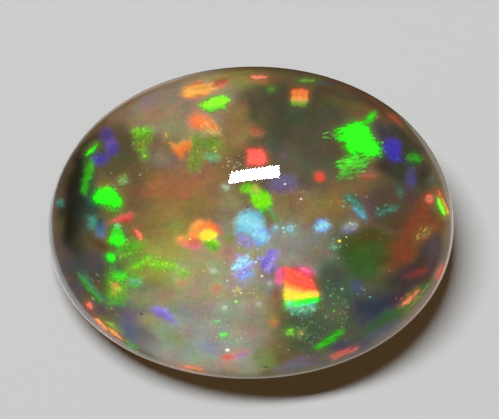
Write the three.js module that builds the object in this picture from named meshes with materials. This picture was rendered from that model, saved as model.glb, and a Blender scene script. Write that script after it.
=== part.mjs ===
// An oval opal cabochon: one polished stone with a high dome, a rounded girdle and a flat back.
// Millimetres, +Z up. The origin is the middle of the flat back, and the stone's length lies along X.
import * as THREE from "three";

// Driving dimensions
const length = 14.0;
const width = 11.2;
const height = 5.5;
const girdleHeight = 0.9; // the widest level, above the flat back
const flatShare = 0.78; // the flat back's share of the outline
const shoulderFullness = 0.02; // how far the dome swells past an ellipse, half way up
const outlineFullness = 0.008; // how far the oval swells past an ellipse, between its axes

// How finely the surface is faceted
const stepsRound = 84;
const stepsUnder = 6;
const stepsDome = 18;

const quarterTurn = Math.PI / 2;

// The half section from the middle of the back, round the girdle and up to the apex.
// x is the share of the outline, from 0 on the axis to 1 at the girdle, and y is the height.
function section() {
  const points = [new THREE.Vector2(0, 0)];
  for (let i = 0; i <= stepsUnder; i++) {
    const turn = (quarterTurn * i) / stepsUnder;
    const share = flatShare + (1 - flatShare) * Math.sin(turn);
    points.push(new THREE.Vector2(share, girdleHeight * (1 - Math.cos(turn))));
  }
  const domeHeight = height - girdleHeight;
  for (let i = 1; i < stepsDome; i++) {
    const turn = (quarterTurn * i) / stepsDome;
    const swell = 1 + shoulderFullness * Math.sin(2 * turn) ** 2;
    const share = Math.cos(turn) * swell;
    points.push(new THREE.Vector2(share, girdleHeight + domeHeight * Math.sin(turn) * swell));
  }
  points.push(new THREE.Vector2(0, height));
  return points;
}

// Stretches the round of unit radius to the oval outline.
function stretchToOval(geometry) {
  const position = geometry.getAttribute("position");
  for (let i = 0; i < position.count; i++) {
    const x = position.getX(i);
    const y = position.getY(i);
    const swell = 1 + outlineFullness * Math.sin(2 * Math.atan2(y, x)) ** 2;
    position.setXY(i, (x * swell * length) / 2, (y * swell * width) / 2);
  }
  geometry.computeVertexNormals();
}

function opalCabochon() {
  const geometry = new THREE.LatheGeometry(section(), stepsRound);
  geometry.rotateX(quarterTurn);
  stretchToOval(geometry);
  const material = new THREE.MeshStandardMaterial({
    color: 0x6a5638,
    roughness: 0.05,
    metalness: 0,
  });
  const stone = new THREE.Mesh(geometry, material);
  stone.name = "opal_cabochon";
  return stone;
}

const part = new THREE.Group();
part.add(opalCabochon());

export default part;
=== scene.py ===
import math
import random

import bmesh
import bpy
import numpy
from mathutils import Matrix, Vector, noise
from mathutils.bvhtree import BVHTree


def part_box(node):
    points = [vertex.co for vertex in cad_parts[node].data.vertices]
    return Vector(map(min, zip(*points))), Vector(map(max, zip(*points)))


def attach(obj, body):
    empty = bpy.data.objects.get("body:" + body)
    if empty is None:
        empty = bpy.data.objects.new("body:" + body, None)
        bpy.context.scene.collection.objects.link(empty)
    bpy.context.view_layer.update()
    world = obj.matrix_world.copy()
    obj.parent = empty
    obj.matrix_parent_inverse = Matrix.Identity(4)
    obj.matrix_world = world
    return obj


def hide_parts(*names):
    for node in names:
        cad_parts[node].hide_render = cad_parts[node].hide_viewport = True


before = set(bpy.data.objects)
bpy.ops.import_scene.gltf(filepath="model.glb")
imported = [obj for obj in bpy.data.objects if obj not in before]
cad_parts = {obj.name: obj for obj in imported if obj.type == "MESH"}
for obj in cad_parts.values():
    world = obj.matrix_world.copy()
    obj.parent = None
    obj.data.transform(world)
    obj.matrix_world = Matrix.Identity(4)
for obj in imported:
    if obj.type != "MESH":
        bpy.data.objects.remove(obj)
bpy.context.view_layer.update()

mm = 0.001
print("frame loaded")


# Shader maths: a Wire is one node output, and a Surface is one material's nodes.
class Wire:
    def __init__(self, surface, socket):
        self.surface = surface
        self.socket = socket

    def maths(self, operation, first, second):
        return self.surface.node("ShaderNodeMath", {"operation": operation}, {0: first, 1: second})

    def __add__(self, other):
        return self.maths("ADD", self, other)

    def __mul__(self, other):
        return self.maths("MULTIPLY", self, other)


class Surface:
    def __init__(self, name):
        self.material = bpy.data.materials.new(name)
        self.material.use_nodes = True
        self.tree = self.material.node_tree
        self.tree.nodes.clear()
        self.output = self.tree.nodes.new("ShaderNodeOutputMaterial")

    def node(self, kind, settings=None, sockets=None, output=0):
        made = self.tree.nodes.new(kind)
        for name, value in (settings or {}).items():
            setattr(made, name, value)
        for name, value in (sockets or {}).items():
            if isinstance(value, Wire):
                self.tree.links.new(value.socket, made.inputs[name])
            else:
                made.inputs[name].default_value = value
        return Wire(self, made.outputs[output])

    def vector(self, operation, first, second):
        socket = "Scale" if operation == "SCALE" else 1
        return self.node("ShaderNodeVectorMath", {"operation": operation}, {0: first, socket: second})

    def pattern(self, place, scale, detail):  # noise through the solid
        return self.node("ShaderNodeTexNoise", None, {
            "Vector": place, "Scale": scale, "Detail": detail, "Roughness": 0.6,
        })

    def finish(self, shader, volume=None):
        self.tree.links.new(shader.socket, self.output.inputs["Surface"])
        if volume:
            self.tree.links.new(volume.socket, self.output.inputs["Volume"])
        return self.material


# The camera looks down on the stone as the photograph does.
photo = dict(
    width=499,
    height=419,
    middle=(250.5, 223.5),  # of the stone's outline
    outline=(202.3, 155.7),  # its half width and half height
    perMillimetre=28.9,
    pull=0.01,  # how far a pixel just past the outline is drawn to the middle, at each try
    tries=60,
)
viewpoint = dict(
    elevation=66.8,
    azimuth=-3.4,
    roll=1.6,
    distance=130 * mm,
    fieldWidth=17.18 * mm,  # what the frame's width covers at the aim point
    aim=(-0.04 * mm, 0.395 * mm, 1.39 * mm),
    sensor=36.0,
)


def makeCamera():
    up, turn = math.radians(viewpoint["elevation"]), math.radians(viewpoint["azimuth"])
    back = Vector((math.sin(turn) * math.cos(up), -math.cos(turn) * math.cos(up), math.sin(up)))
    data = bpy.data.cameras.new("photographers_view")
    data.sensor_width = viewpoint["sensor"]
    data.lens = viewpoint["sensor"] * viewpoint["distance"] / viewpoint["fieldWidth"]
    data.clip_start, data.clip_end = 5 * mm, 20.0
    camera = bpy.data.objects.new("camera", data)
    bpy.context.scene.collection.objects.link(camera)
    camera.location = Vector(viewpoint["aim"]) + back * viewpoint["distance"]
    camera.rotation_euler = (-back).to_track_quat("-Z", "Y").to_euler()
    camera.rotation_euler.rotate_axis("Z", math.radians(viewpoint["roll"]))
    bpy.context.scene.camera = camera
    bpy.context.view_layer.update()
    return camera


camera = makeCamera()
eye = camera.matrix_world.translation.copy()
aimed = camera.matrix_world.to_3x3()
perPixel = viewpoint["fieldWidth"] / viewpoint["distance"] / photo["width"]


def sightLine(px, py):  # the direction from the camera through a pixel of the 499 x 419 photograph
    local = Vector(((px - photo["width"] / 2) * perPixel, (photo["height"] / 2 - py) * perPixel, -1))
    return (aimed @ local).normalized()


# The stone's own form, from the solid's box: half a section turned round and stretched to the oval.
stone = dict(
    girdleHeight=0.9 * mm,
    flatShare=0.78,
    shoulderFullness=0.02,
    outlineFullness=0.008,
    stepsRound=540,
    stepsUnder=14,
    stepsFlat=5,
    stepsDome=142,
    refraction=1.45,
    underSkin=0.02 * mm,  # where a search for the far side starts
    deepest=0.8,  # the share of the way through that nothing inside goes beyond
)


def halfSection(height):
    girdle = stone["girdleHeight"]
    flat = stone["flatShare"]
    points = [(flat * i / stone["stepsFlat"], 0) for i in range(stone["stepsFlat"])]
    for i in range(stone["stepsUnder"] + 1):
        turn = math.pi / 2 * i / stone["stepsUnder"]
        points.append((flat + (1 - flat) * math.sin(turn), girdle * (1 - math.cos(turn))))
    for i in range(1, stone["stepsDome"] + 1):
        turn = math.pi / 2 * i / stone["stepsDome"]
        swell = 1 + stone["shoulderFullness"] * math.sin(2 * turn) ** 2
        share = math.cos(turn) * swell if i < stone["stepsDome"] else 0
        points.append((share, girdle + (height - girdle) * math.sin(turn) * swell))
    return points


def putInOrder(bm):  # turning and thickening list the faces in another order at each run
    bm.verts.index_update()
    ranked = sorted(bm.faces, key=lambda face: sorted(v.index for v in face.verts))
    for number, face in enumerate(ranked):
        face.index = number
    bm.faces.sort()


def makeStone():
    low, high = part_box("opal_cabochon")
    bm = bmesh.new()
    section = [bm.verts.new((share, 0, z)) for share, z in halfSection(high.z - low.z)]
    edges = [bm.edges.new(pair) for pair in zip(section, section[1:])]
    bmesh.ops.spin(
        bm, geom=section + edges, cent=(0, 0, 0), axis=(0, 0, 1), angle=math.tau,
        steps=stone["stepsRound"], use_merge=True,
    )
    bmesh.ops.remove_doubles(bm, verts=bm.verts, dist=1e-6)
    bmesh.ops.recalc_face_normals(bm, faces=bm.faces)
    for v in bm.verts:
        swell = 1 + stone["outlineFullness"] * math.sin(2 * math.atan2(v.co.y, v.co.x)) ** 2
        v.co.x *= swell
        v.co.y *= swell
    bmesh.ops.scale(bm, vec=((high.x - low.x) / 2, (high.y - low.y) / 2, 1), verts=bm.verts)
    for face in bm.faces:
        face.smooth = True
    putInOrder(bm)
    mesh = bpy.data.meshes.new("polished_opal")
    bm.to_mesh(mesh)
    body = bpy.data.objects.new("polished_opal", mesh)
    bpy.context.scene.collection.objects.link(body)
    shape = BVHTree.FromBMesh(bm)
    bm.free()
    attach(body, "root")
    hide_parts("opal_cabochon")
    body.visible_diffuse = False  # the milky glow doesn't light the table
    return body, shape


body, shape = makeStone()
print("stone made:", len(body.data.polygons), "faces")


def bend(direction, normal, ratio):  # refracts a ray into the stone
    facing = -normal.dot(direction)
    inside = 1 - ratio * ratio * (1 - facing * facing)
    return (direction * ratio + normal * (ratio * facing - math.sqrt(inside))).normalized()


def surfaceAt(px, py):  # where the line of sight meets the stone, and the normal there
    for step in range(photo["tries"]):
        point, normal, _, _ = shape.ray_cast(eye, sightLine(px, py))
        if point:
            return point, normal, px, py
        px += (photo["middle"][0] - px) * photo["pull"]
        py += (photo["middle"][1] - py) * photo["pull"]
    raise ValueError("no stone near that pixel")


def throughDome(px, py, depth):  # the point seen at a pixel, that deep in the stone along the line of sight
    point, normal, px, py = surfaceAt(px, py)
    ahead = bend(sightLine(px, py), normal, 1 / stone["refraction"])
    end = shape.ray_cast(point + ahead * stone["underSkin"], ahead)[0]
    through = (end - point).length if end else 0
    return point + ahead * min(depth, through * stone["deepest"])


def light(red, green, blue):  # a tone in 0 to 255, as light
    return tuple(((c / 255 + 0.055) / 1.055) ** 2.4 if c > 10 else c / 3295 for c in (red, green, blue))


# Soft tones of the stone's body
tones = dict(
    umber=light(104, 90, 62),
    fawn=light(150, 129, 103),
    tan=light(152, 122, 84),
    clay=light(146, 106, 78),
    heather=light(140, 126, 134),
    shell=light(172, 128, 112),
    loden=light(76, 72, 50),
    olive=light(100, 94, 58),
    cocoa=light(138, 108, 70),
    rust=light(172, 104, 66),
    bronze=light(136, 114, 62),
    smoke=light(70, 71, 52),
    pewter=light(104, 98, 98),
    pine=light(72, 78, 64),
    copper=light(146, 116, 72),
    hazel=light(98, 90, 70),
    chestnut=light(104, 64, 42),
    maroon=light(76, 40, 36),
    drab=light(94, 92, 46),
    brick=light(172, 82, 60),
    lake=light(56, 84, 90),
    shade=light(50, 54, 44),
    slate=light(66, 66, 82),
    walnut=light(80, 68, 54),
    mulberry=light(98, 76, 82),
    ochre=light(146, 124, 60),
    sienna=light(134, 114, 74),
    ember=light(128, 62, 36),
    dusk=light(62, 49, 51),
    plum=light(58, 44, 54),
    crimson=light(104, 50, 56),
    moss=light(64, 76, 34),
    fern=light(58, 94, 40),
    jade=light(56, 100, 62),
    bark=light(80, 66, 32),
    stone=light(134, 126, 114),
    rose=light(150, 136, 130),
    lichen=light(102, 112, 92),
    meadow=light(150, 154, 68),
    leaf=light(92, 126, 54),
    straw=light(160, 160, 74),
    butter=light(164, 158, 114),
    blush=light(168, 128, 116),
    milk=light(152, 155, 140),
    mauve=light(84, 66, 86),
    mist=light(146, 154, 168),
    peach=light(188, 140, 120),
    lime=light(128, 136, 66),
    violet=light(104, 100, 116),
    steel=light(84, 92, 122),
    sand=light(158, 148, 106),
    sage=light(140, 158, 106),
    ink=light(14, 22, 20),
    teal=light(38, 70, 60),
    soot=light(66, 66, 66),
    grape=light(84, 72, 78),
    glen=light(62, 84, 62),
    marsh=light(72, 94, 76),
    navy=light(38, 50, 74),
    forest=light(50, 96, 56),
    iris=light(68, 56, 98),
    cobalt=light(70, 80, 138),
    amber=light(154, 116, 66),
    coal=light(14, 12, 12),
    # tones of the painted reflection of light along the outline
    chalk=light(196, 176, 168),
    silver=light(152, 146, 137),
    ash=light(114, 108, 107),
)


def wash(outline, tone, edge=12, strength=0.95):
    return dict(outline=outline, tone=tone, edge=edge, strength=strength)


# Broad soft areas of tone on the surface: the corners in pixels, the tone, the width of the soft edge in
# pixels, and the strength
washes = [
    wash([(112, 116), (150, 92), (185, 82), (238, 76), (242, 100), (230, 126), (205, 140), (166, 136),
        (138, 128), (118, 126)], "fawn", 18),
    wash([(100, 128), (130, 125), (138, 148), (150, 166), (130, 182), (108, 180), (94, 166)], "loden", 14),
    wash([(140, 152), (192, 150), (228, 150), (236, 176), (216, 200), (186, 214), (150, 222), (128, 202),
        (128, 176)], "cocoa", 24),
    wash([(252, 82), (332, 82), (346, 110), (336, 150), (310, 168), (276, 152), (254, 126), (242, 104)],
        "smoke", 18),
    wash([(226, 108), (244, 104), (254, 126), (244, 150), (228, 168), (212, 152), (218, 126)], "copper",
        16),
    wash([(290, 126), (334, 120), (344, 146), (338, 186), (312, 194), (284, 182)], "hazel", 16),
    wash([(318, 85), (350, 90), (376, 102), (400, 122), (394, 130), (366, 117), (340, 105), (318, 99)],
        "chestnut", 14, 0.4),
    wash([(382, 124), (404, 128), (424, 148), (434, 172), (428, 196), (402, 188), (380, 168), (376, 140)],
        "shade", 12),
    wash([(362, 188), (396, 180), (426, 190), (436, 214), (424, 230), (400, 232), (374, 224)], "walnut",
        14),
    wash([(272, 190), (316, 188), (324, 214), (306, 226), (276, 220)], "sienna", 14),
    wash([(344, 232), (372, 228), (400, 238), (396, 260), (378, 284), (356, 282), (342, 266), (336, 250)],
        "moss", 14),
    wash([(440, 216), (446, 226), (430, 241), (416, 253), (406, 266), (389, 278), (377, 286), (371, 280),
        (386, 262), (395, 243), (404, 227), (420, 212)], "ember", 20, 0.85),
    wash([(411, 259), (430, 239), (442, 232), (446, 262), (432, 282), (414, 294), (398, 291), (393, 278)],
        "dusk", 15),
    wash([(274, 232), (326, 228), (336, 254), (322, 276), (286, 270), (266, 252)], "stone", 16),
    wash([(118, 252), (150, 245), (178, 234), (198, 246), (202, 268), (186, 292), (150, 286), (126, 276)],
        "meadow", 26),
    wash([(186, 254), (236, 244), (264, 270), (270, 300), (242, 320), (200, 312), (172, 302), (168, 282)],
        "butter", 22),
    wash([(148, 324), (185, 312), (226, 318), (258, 332), (264, 352), (256, 374), (214, 377), (174, 365),
        (148, 350)], "milk", 22),
    wash([(121, 302), (140, 299), (153, 312), (146, 330), (158, 346), (142, 350), (127, 336), (119, 318)],
        "violet", 22, 0.85),
    wash([(56, 232), (84, 244), (106, 260), (110, 286), (98, 302), (82, 292), (64, 268)], "soot", 20),
    wash([(72, 154), (88, 152), (92, 184), (90, 208), (85, 230), (78, 252), (62, 246), (60, 214),
        (62, 186)], "ink", 18, 1.0),
    wash([(72, 160), (80, 145), (92, 132), (104, 122), (111, 127), (100, 139), (91, 151), (86, 166),
        (78, 176)], "ink", 9, 0.8),
    wash([(284, 312), (326, 306), (346, 320), (342, 345), (318, 353), (292, 349), (278, 330)], "glen", 28),
    wash([(322, 258), (346, 256), (356, 284), (352, 306), (330, 312), (318, 292)], "marsh", 14),
    wash([(350, 300), (374, 291), (396, 288), (404, 304), (386, 319), (364, 324), (350, 318)], "navy", 22),
    wash([(352, 340), (374, 323), (400, 304), (420, 285), (427, 284), (412, 307), (392, 323), (370, 339),
        (356, 347)], "forest", 14, 0.8),
    wash([(268, 366), (300, 359), (332, 352), (338, 358), (304, 371), (274, 375)], "violet", 7),
]


def cloud(at, size, tone, strength=0.85, turn=0, edge=1.0):
    return dict(at=at, size=size, tone=tone, strength=strength, turn=turn, edge=edge)


# Smaller clouds of tone: pixel, half sizes in mm as seen, tone, strength, turn in degrees, and how sharp the
# edge is
clouds = [
    # upper left
    cloud((124, 113), (0.75, 0.2), "clay", turn=38),
    cloud((148, 101), (0.5, 0.22), "heather", turn=28),
    cloud((172, 108), (0.4, 0.12), "shell", 0.8, turn=48),
    cloud((140, 120), (0.9, 0.26), "tan", 0.8, turn=8),
    cloud((168, 124), (0.9, 0.35), "sand", 0.6),
    cloud((192, 106), (0.5, 0.4), "shell", 0.4),
    cloud((214, 92), (0.7, 0.5), "copper", 0.6, turn=12),
    cloud((224, 84), (0.5, 0.2), "clay", 0.7, turn=15),
    cloud((150, 154), (0.7, 0.6), "olive", 0.6),
    cloud((166, 158), (0.5, 0.35), "heather", 0.5),
    cloud((178, 150), (0.6, 0.5), "copper", 0.5),
    cloud((196, 130), (0.7, 0.5), "sand", 0.5),
    cloud((118, 126), (0.5, 0.3), "hazel", 0.6, turn=30),
    cloud((110, 168), (0.5, 0.5), "olive", 0.5),
    # middle left
    cloud((166, 191), (1.35, 0.42), "rust", 0.9, turn=-3),
    cloud((196, 178), (0.7, 0.5), "clay", 0.6),
    cloud((150, 216), (1.0, 0.4), "bronze", 0.8, turn=6),
    cloud((196, 203), (0.9, 0.3), "ochre", 0.75, turn=12),
    cloud((224, 196), (0.6, 0.6), "sienna", 0.6),
    cloud((130, 226), (0.5, 0.5), "bronze", 0.6),
    cloud((160, 236), (0.8, 0.35), "bronze", 0.7),
    cloud((196, 222), (0.9, 0.45), "copper", 0.5),
    # top
    cloud((262, 118), (0.4, 0.5), "olive", 0.7),
    cloud((272, 142), (0.4, 0.4), "lichen", 0.35),
    cloud((283, 154), (0.28, 0.3), "pewter", 0.8),
    cloud((292, 110), (0.5, 0.3), "pine", 0.8),
    cloud((246, 92), (0.5, 0.35), "hazel", 0.7),
    cloud((258, 80), (0.6, 0.14), "brick", 0.5),
    cloud((236, 77), (0.8, 0.12), "ochre", 0.6, turn=12),
    cloud((345, 106), (0.65, 0.28), "drab", 0.85, turn=-10),
    cloud((318, 106), (0.5, 0.4), "loden", 0.7),
    cloud((304, 134), (1.5, 1.0), "smoke", 0.6),
    cloud((334, 146), (0.8, 0.9), "loden", 0.5),
    cloud((352, 96), (1.1, 0.24), "shade", 0.6, turn=-22),
    cloud((325, 82), (0.42, 0.1), "lake", 0.9, turn=-14, edge=1.5),
    cloud((372, 104), (1.0, 0.12), "maroon", 0.7, turn=-36),
    cloud((397, 118), (0.32, 0.12), "brick", 0.85, turn=-46, edge=1.4),
    cloud((334, 114), (0.4, 0.3), "pine", 0.5),
    # right
    cloud((381, 131), (0.42, 0.3), "slate", 0.65, turn=-40),
    cloud((411, 178), (0.16, 0.6), "slate", 0.8),
    cloud((386, 184), (0.5, 0.3), "walnut", 0.7),
    cloud((352, 188), (0.6, 0.3), "cocoa", 0.5),
    cloud((431, 176), (0.12, 0.35), "lichen", 0.5, turn=-20),
    cloud((368, 210), (0.32, 0.45), "mulberry", 0.85),
    cloud((420, 209), (0.3, 0.3), "ember", 0.75),
    cloud((332, 204), (0.55, 0.6), "ochre", 0.85),
    cloud((300, 206), (0.6, 0.35), "sienna", 0.6),
    cloud((312, 188), (0.5, 0.3), "mulberry", 0.35),
    cloud((350, 222), (0.5, 0.4), "lichen", 0.5),
    cloud((390, 222), (0.5, 0.24), "bark", 0.7),
    cloud((407, 250), (0.34, 0.3), "ember", 0.9, turn=30),
    cloud((424, 233), (0.4, 0.16), "bronze", 0.7, turn=45),
    cloud((384, 272), (0.4, 0.16), "copper", 0.5, turn=45),
    cloud((433, 250), (0.3, 0.42), "grape", 0.9, turn=-10),
    cloud((406, 276), (0.4, 0.3), "plum", 0.9, turn=35),
    cloud((416, 275), (0.5, 0.1), "crimson", 0.8, turn=20),
    cloud((362, 258), (0.8, 0.6), "fern", 0.6),
    cloud((370, 276), (0.5, 0.3), "jade", 0.7),
    cloud((374, 240), (0.6, 0.3), "bark", 0.6),
    cloud((386, 256), (0.4, 0.3), "bark", 0.8),
    cloud((341, 274), (0.45, 0.4), "pine", 0.8),
    cloud((331, 240), (0.35, 0.5), "lichen", 0.8),
    cloud((290, 258), (0.6, 0.3), "rose", 0.8),
    cloud((312, 252), (0.5, 0.4), "hazel", 0.5),
    cloud((358, 288), (0.24, 0.22), "cobalt", 0.85, edge=1.4),
    cloud((372, 286), (0.6, 0.35), "glen", 0.6, turn=30),
    cloud((392, 282), (0.4, 0.4), "shade", 0.7),
    cloud((402, 295), (0.4, 0.3), "plum", 0.8, turn=40),
    cloud((380, 334), (0.9, 0.16), "steel", 0.75, turn=32, edge=1.3),
    cloud((356, 350), (0.7, 0.18), "slate", 0.8, turn=22),
    cloud((342, 344), (0.5, 0.2), "iris", 0.95, turn=18, edge=1.3),
    cloud((324, 357), (0.6, 0.14), "drab", 0.6, turn=14),
    cloud((398, 316), (0.6, 0.16), "jade", 0.5, turn=42),
    # lower left
    cloud((130, 250), (0.6, 0.4), "leaf", 0.8),
    cloud((160, 258), (0.9, 0.5), "straw", 0.8, turn=20),
    cloud((140, 268), (0.6, 0.3), "leaf", 0.7, turn=20),
    cloud((184, 262), (0.7, 0.5), "butter", 0.8),
    cloud((112, 284), (0.4, 0.7), "fern", 0.8),
    cloud((116, 262), (0.4, 0.6), "glen", 0.8),
    cloud((144, 262), (0.5, 0.3), "leaf", 0.5),
    cloud((172, 250), (0.7, 0.3), "straw", 0.8),
    cloud((158, 270), (0.7, 0.4), "straw", 0.5),
    cloud((90, 205), (0.34, 0.9), "teal", 0.95),
    cloud((74, 286), (0.3, 0.7), "slate", 0.8, turn=-60),
    cloud((98, 243), (0.55, 0.18), "bark", 0.9, turn=-38),
    cloud((96, 262), (0.5, 0.3), "grape", 0.7),
    cloud((76, 264), (0.3, 0.4), "teal", 0.6, turn=-60),
    cloud((98, 284), (0.3, 0.3), "chestnut", 0.75),
    cloud((112, 302), (0.35, 0.3), "marsh", 0.9),
    cloud((102, 308), (0.3, 0.2), "grape", 0.8),
    cloud((129, 332), (0.3, 0.5), "steel", 0.8, turn=38),
    cloud((155, 321), (0.42, 0.2), "sand", 0.9, turn=-10),
    cloud((148, 340), (0.4, 0.3), "slate", 0.5, turn=-30),
    cloud((150, 296), (0.8, 0.3), "sand", 0.6),
    cloud((196, 303), (0.6, 0.26), "blush", 0.7, turn=5),
    cloud((140, 288), (0.5, 0.3), "lichen", 0.6),
    # lower middle
    cloud((262, 250), (1.0, 0.5), "milk", 0.7),
    cloud((290, 236), (0.9, 0.6), "milk", 0.55),
    cloud((178, 226), (0.6, 0.4), "straw", 0.5),
    cloud((224, 228), (0.5, 0.6), "milk", 0.6),
    cloud((232, 204), (0.6, 0.4), "sand", 0.6),
    cloud((250, 284), (0.9, 0.4), "mist", 0.6),
    cloud((156, 300), (0.8, 0.3), "sand", 0.8),
    cloud((196, 308), (1.3, 0.3), "milk", 0.5),
    cloud((262, 318), (0.5, 0.5), "milk", 0.5),
    cloud((206, 224), (0.9, 0.7), "amber", 0.4),
    cloud((214, 254), (0.7, 0.4), "butter", 0.8),
    cloud((236, 226), (0.5, 0.4), "sand", 0.5),
    cloud((228, 252), (0.42, 0.35), "blush", 0.9),
    cloud((252, 250), (0.6, 0.3), "butter", 0.7),
    cloud((256, 290), (0.5, 0.4), "lime", 0.4),
    cloud((216, 288), (0.24, 0.2), "peach", 0.5),
    cloud((214, 92), (0.6, 0.3), "milk", 0.4),
    cloud((188, 84), (0.5, 0.2), "fawn", 0.8, turn=22),
    cloud((272, 308), (0.45, 0.5), "amber", 0.6, turn=-12),
    cloud((240, 312), (0.5, 0.4), "milk", 0.6),
    cloud((218, 328), (1.3, 0.6), "milk", 0.7, turn=-10),
    cloud((168, 352), (0.9, 0.3), "milk", 0.8, turn=-24),
    cloud((206, 344), (0.55, 0.24), "mist", 0.9, turn=-15),
    cloud((169, 334), (0.9, 0.3), "sage", 0.9, turn=-42),
    cloud((186, 330), (0.4, 0.4), "heather", 0.5),
    cloud((254, 334), (0.32, 0.3), "blush", 0.75),
    cloud((232, 358), (0.6, 0.22), "peach", 0.85, turn=5),
    cloud((222, 368), (0.6, 0.14), "blush", 0.6),
    cloud((264, 358), (0.4, 0.45), "lime", 0.85),
    cloud((246, 370), (0.6, 0.12), "sand", 0.7),
    cloud((188, 366), (0.4, 0.07), "peach", 0.8, turn=-14),
    cloud((282, 340), (0.5, 0.7), "drab", 0.4),
    cloud((268, 330), (0.4, 0.6), "sand", 0.5),
    cloud((302, 346), (0.5, 0.3), "pine", 0.7),
    cloud((330, 318), (0.5, 0.4), "lichen", 0.3),
    # laid over the clouds above
    cloud((75, 248), (0.42, 0.35), "shade", 0.75),
    cloud((70, 236), (0.3, 0.4), "ink", 0.5),
    cloud((136, 180), (0.5, 0.6), "loden", 0.6),
    cloud((90, 152), (0.3, 0.45), "shade", 0.6),
    cloud((136, 203), (0.5, 0.35), "loden", 0.45),
    cloud((112, 229), (0.5, 0.4), "drab", 0.6),
    cloud((88, 228), (0.3, 0.5), "pine", 0.6),
    cloud((116, 133), (0.4, 0.3), "loden", 0.5),
    cloud((66, 268), (0.25, 0.6), "slate", 0.7, turn=-65),
    cloud((160, 248), (0.9, 0.3), "straw", 0.6, turn=10),
    cloud((236, 84), (0.7, 0.25), "straw", 0.5, turn=10),
    cloud((208, 80), (0.5, 0.2), "sand", 0.7, turn=14),
    cloud((268, 284), (0.4, 0.3), "heather", 0.5),
    cloud((196, 324), (1.2, 0.4), "milk", 0.5),
    cloud((352, 326), (0.55, 0.4), "glen", 0.7),
    cloud((374, 322), (0.6, 0.3), "navy", 0.6, turn=30),
    cloud((352, 342), (0.5, 0.24), "slate", 0.6, turn=20),
    cloud((234, 160), (0.6, 0.4), "olive", 0.5),
    # small dark specks
    cloud((143.5, 315), (0.045, 0.045), "coal", 1.0, edge=2),
    cloud((263, 368), (0.06, 0.04), "coal", 0.9, edge=2),
    cloud((422, 174), (0.04, 0.05), "coal", 0.9, edge=2),
    cloud((248, 206), (0.045, 0.04), "coal", 0.7, edge=2),
]


# The polished edge, by bearing in degrees from the right, anticlockwise as seen: the tone and the width in
# pixels of the soft band just inside the outline, partly the stone's own colour and partly painted
# reflection, and of the painted line of reflected light on the outline itself
rimToneAndReflection = dict(
    strength=dict(band=0.75, line=1.0),
    reach=dict(band=1.1, line=1.5),  # how many of its widths each reaches in from the outline
    band=[
        (0, "stone", 11), (12, "stone", 9), (24, "shade", 9), (38, "shade", 8), (48, "maroon", 9),
        (62, "maroon", 9), (76, "shade", 9), (92, "bark", 8), (104, "fawn", 8), (114, "fawn", 10),
        (128, "hazel", 8), (138, "bark", 5), (150, "soot", 6), (162, "slate", 8), (172, "mauve", 9),
        (183, "mauve", 9), (194, "slate", 12), (216, "slate", 12), (228, "slate", 10), (240, "pewter", 8),
        (251, "shell", 8), (266, "lichen", 7), (292, "lichen", 7), (306, "violet", 9), (320, "rose", 10),
        (331, "rose", 11), (341, "stone", 12), (351, "stone", 12), (360, "stone", 11),
    ],
    line=[
        (0, "chalk", 2.8), (14, "silver", 4.5), (26, "silver", 5.0), (37, "silver", 3.0), (46, "shade", 1.6),
        (58, "maroon", 1.6), (80, "shade", 1.5), (94, "bark", 1.5), (104, "silver", 1.9), (112, "chalk", 2.5),
        (132, "chalk", 2.5), (146, "silver", 2.6), (160, "silver", 2.4), (176, "ash", 2.0), (190, "ash", 2.0),
        (205, "silver", 1.3), (238, "silver", 1.3), (250, "silver", 1.4), (264, "silver", 1.8),
        (300, "silver", 1.6), (318, "silver", 1.8), (334, "chalk", 2.0), (360, "chalk", 2.8),
    ],
    hiddenFade=0.1,  # how soon both fade past the outline, on the side that faces away from the camera
)

cloudRange = dict(
    seed=5,  # without one, the clouds' edges and the body's blotches differ at each run
    wander=5.0,  # pixels by which the clouds' edges stray
    wanderScale=1.3 / mm,
    # how wide and tall in pixels the body's blotches, flecks and specks are, and how strongly they tint it
    mottles=[((20.0, 16.0), 0.2), ((7.0, 5.0), 0.14), ((2.6, 2.2), 0.1)],
    haloEdge=5.0,  # pixels over which the light round a flash fades
    bloomReach=9.0,  # pixels that its wide faint glow reaches
    underGlow=light(118, 70, 24),  # painted glow low down in the girdle, for the light that gathers there
    underLevels=(0.02 * mm, 0.24 * mm, 0.52 * mm),
    darkBelow=0.144 * mm,  # the level at which the other colours end
)


# Plain flashes on the low back, which the photograph doesn't show: place across and up in mm, half sizes in
# mm, hue
backFlashes = [
    ((-5.3, 1.9), (0.34, 0.3), "teal"), ((-4.4, 1.35), (0.5, 0.22), "grass"),
    ((-3.3, 2.05), (0.4, 0.2), "orange"), ((-2.3, 1.3), (0.34, 0.3), "violet"),
    ((-1.3, 1.9), (0.62, 0.26), "green"), ((0.1, 1.25), (0.42, 0.16), "salmon"),
    ((1.2, 2.0), (0.36, 0.3), "indigo"), ((2.2, 1.4), (0.56, 0.24), "leaf"),
    ((3.4, 1.95), (0.3, 0.2), "red"), ((4.3, 1.3), (0.4, 0.26), "teal"),
    ((5.2, 1.8), (0.3, 0.3), "grass"),
]
backRange = dict(
    wanderScale=2.2 / mm,
    wander=0.9,  # how far their edges stray, in half sizes
    full=0.75,  # how far out they keep their full strength, and where they end
    gone=1.375,
    strength=0.85,
    brightness=0.8,
    flicker=0.6,
    hiddenFade=0.08,
)


def pixelsOf(points):  # pixel columns and rows for an array of points
    toCamera = numpy.array(camera.matrix_world.inverted())
    local = points @ toCamera[:3, :3].T + toCamera[:3, 3]
    px = photo["width"] / 2 - local[:, 0] / local[:, 2] / perPixel
    py = photo["height"] / 2 + local[:, 1] / local[:, 2] / perPixel
    return px, py


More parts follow.
